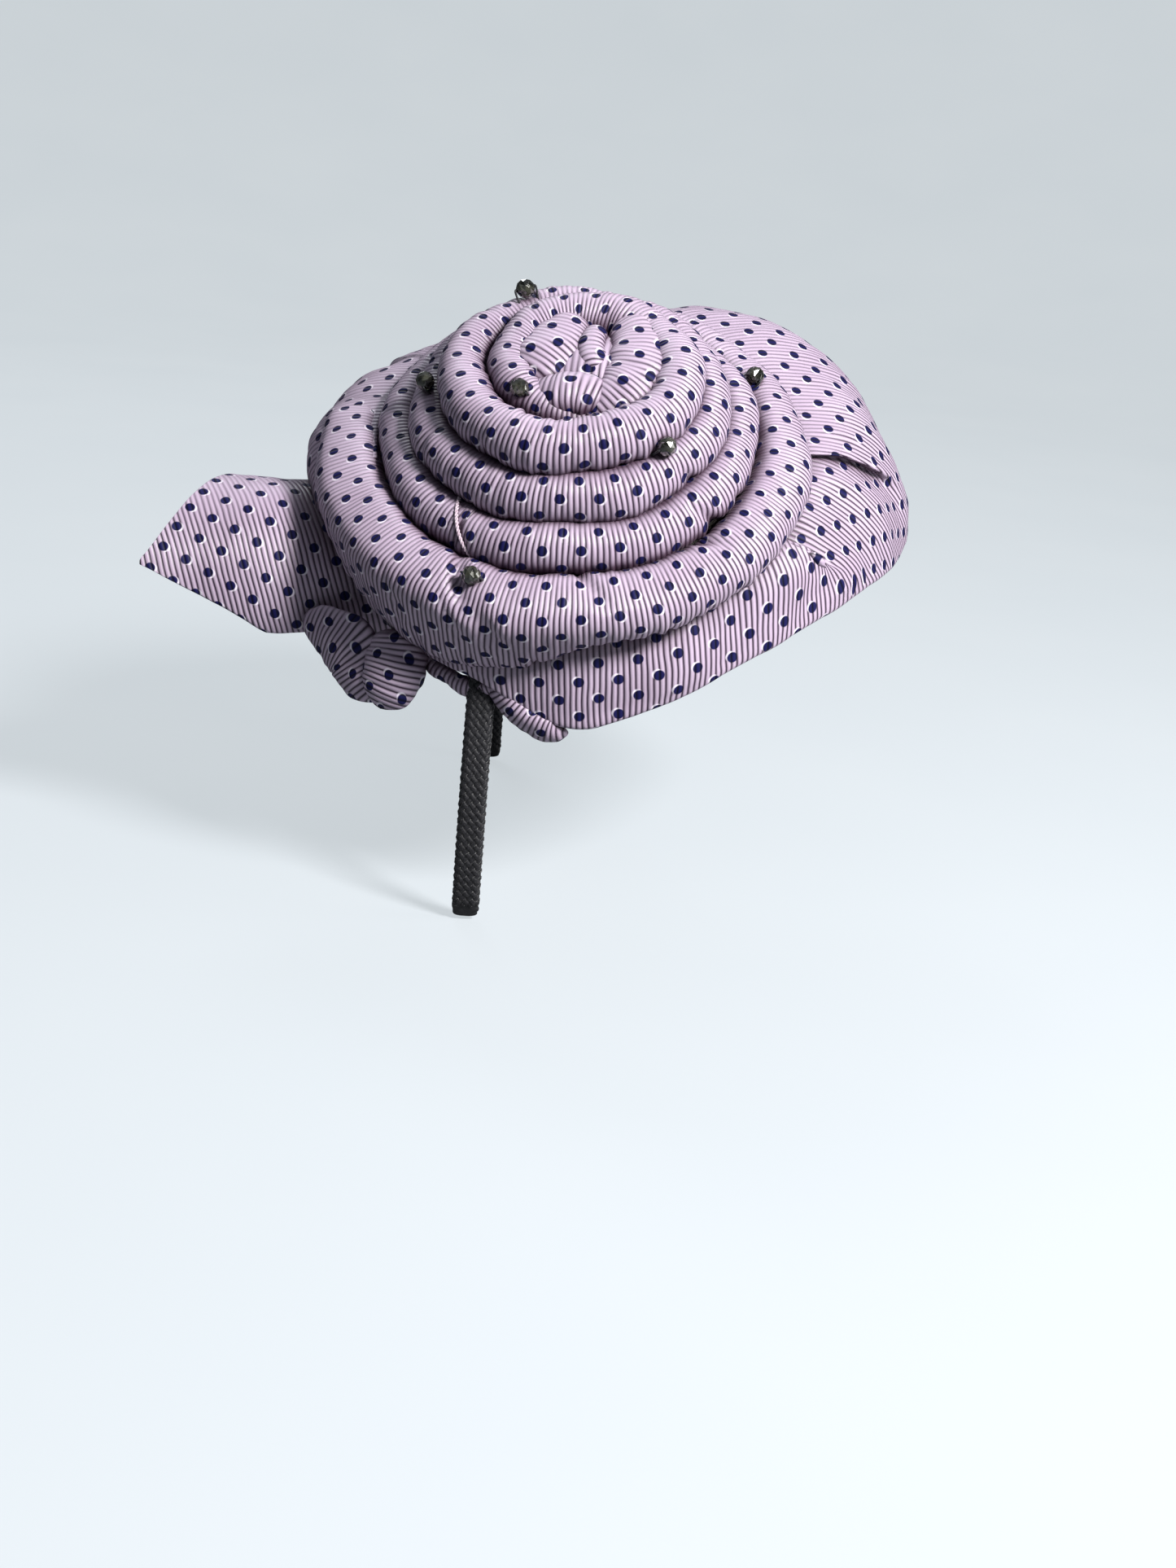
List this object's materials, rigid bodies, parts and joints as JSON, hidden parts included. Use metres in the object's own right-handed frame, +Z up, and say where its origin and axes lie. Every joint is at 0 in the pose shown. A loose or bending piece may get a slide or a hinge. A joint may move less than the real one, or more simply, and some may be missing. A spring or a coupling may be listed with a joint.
{
  "type": "fascinator headpiece",
  "caption": "Necktie silk coiled into a beaded rose on a small domed base, with a free curled blade tip, sewn to a flexible braid-covered headband.",
  "frame": {"origin": "midway between the two tips of the headband", "axes": "+X towards the wearer's face, +Y towards the wearer's left ear, +Z up through the crown of the band; the band's centre line lies in X = 0"},
  "size_m": [0.1859, 0.1561, 0.1476],
  "materials": {
    "silk": "satin, ribbed, navy spots",
    "braid": "matte, flat braid",
    "braid_fused": "heat-sealed",
    "spring_steel": "satin",
    "wire": "satin",
    "buckram": "stiffened, coarse weave",
    "lining": "matte, napped",
    "binding": "grosgrain tape",
    "felt": "felt",
    "wadding": "wadding",
    "interlining": "brushed wool cloth",
    "tipping": "satin lining",
    "seam_thread": "twisted",
    "thread": "polyester thread",
    "bead_glass": "faceted, smoky"
  },
  "bodies": {
    "cap": {"band_spring_crown": "spring_steel", "band_braid_crown": "braid", "base_lining": "lining", "base_shell": "buckram", "rim_wire": "wire", "edge_binding": "binding", "band_felt": "felt", "band_stitches": "thread", "rose_padding": "wadding", "rose_bud": "silk", "tail_coil": "silk", "neck_coil": "silk", "blade_coil": "silk", "coil_interlining": "interlining", "joining_seam": "seam_thread", "drape_front": "silk", "drape_far": "silk", "drape_near": "silk", "gathered_lobe": "silk", "glass_beads": "bead_glass", "bead_threads": "thread"},
    "right_arm": {"band_spring_right": "spring_steel", "band_braid_right": "braid", "braid_tip_right": "braid_fused"},
    "left_arm": {"band_spring_left": "spring_steel", "band_braid_left": "braid", "braid_tip_left": "braid_fused"},
    "leaf": {"leaf_silk": "silk", "leaf_interlining": "interlining", "leaf_tipping": "tipping"}
  },
  "joints": [
    {"name": "right_arm_flex", "type": "hinge", "parent": "cap", "child": "right_arm", "pos_m": [0, -0.06598, 0.06045], "axis": [-1, 0, 0], "range_deg": [-5, 12], "stiffness_Nm_per_rad": 0.6},
    {"name": "left_arm_flex", "type": "hinge", "parent": "cap", "child": "left_arm", "pos_m": [0, 0.06598, 0.06045], "axis": [1, 0, 0], "range_deg": [-5, 12], "stiffness_Nm_per_rad": 0.6},
    {"name": "leaf_flop", "type": "hinge", "parent": "cap", "child": "leaf", "pos_m": [-0.04422, -0.03031, 0.08126], "axis": [-0.1134, 0.8368, 0.5356], "range_deg": [-12, 12], "stiffness_Nm_per_rad": 0.05}
  ]
}
